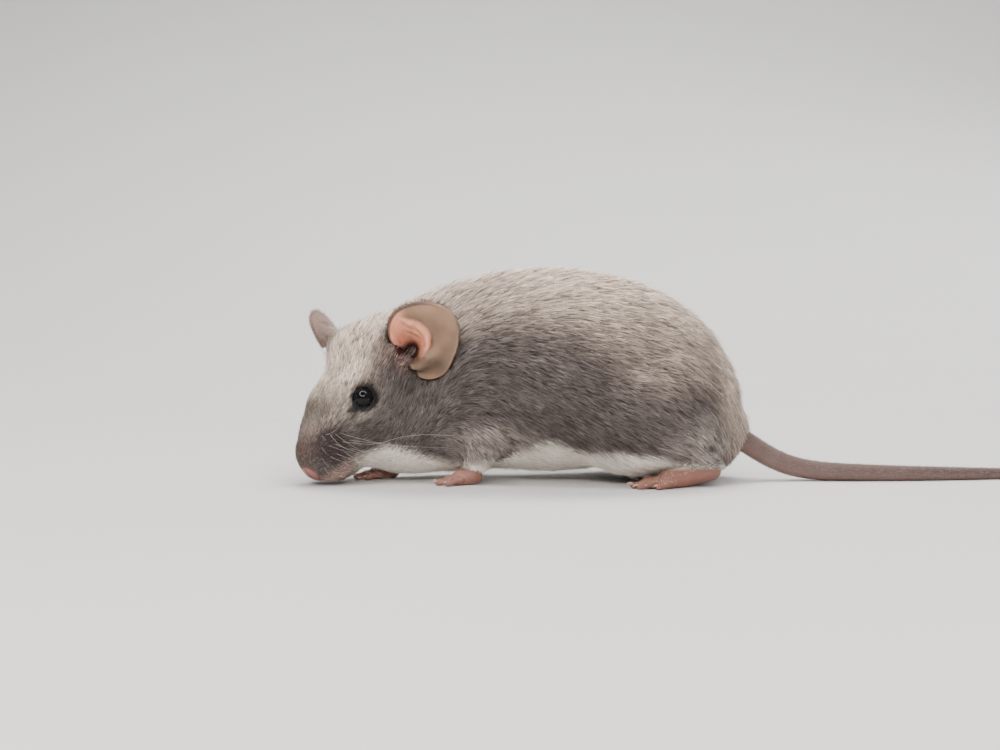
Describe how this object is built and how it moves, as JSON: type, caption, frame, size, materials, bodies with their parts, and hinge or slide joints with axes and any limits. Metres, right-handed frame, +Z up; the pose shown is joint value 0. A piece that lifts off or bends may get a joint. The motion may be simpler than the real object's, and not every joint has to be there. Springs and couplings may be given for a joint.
{
  "type": "house mouse, standing still, life-size model",
  "caption": "Life-size still model of a house mouse standing on all fours, head low and turned to its left, tail laid out behind.",
  "frame": {"origin": "the middle of the footprint box, on the floor", "axes": "+X along the tail, away from the nose; +Y towards the mouse's right side; +Z up"},
  "size_m": [0.15, 0.0334, 0.0356],
  "materials": {
    "fur": "short soft fur, warm grey above and off-white below",
    "ear_skin": "thin bare skin, matt",
    "foot_skin": "bare pink skin, satin",
    "tail_skin": "finely ringed skin, matt",
    "eye": "wet black gloss"
  },
  "bodies": {
    "root": {"head": "fur", "neck": "fur", "trunk": "fur", "foreleg_left": "fur", "foreleg_right": "fur", "hindleg_left": "fur", "hindleg_right": "fur", "ear_left": "ear_skin", "ear_right": "ear_skin", "eye_left": "eye", "eye_right": "eye", "forefoot_left": "foot_skin", "forefoot_right": "foot_skin", "hindfoot_left": "foot_skin", "hindfoot_right": "foot_skin", "tail_base": "tail_skin", "tail_middle": "tail_skin", "tail_end": "tail_skin"}
  },
  "joints": []
}
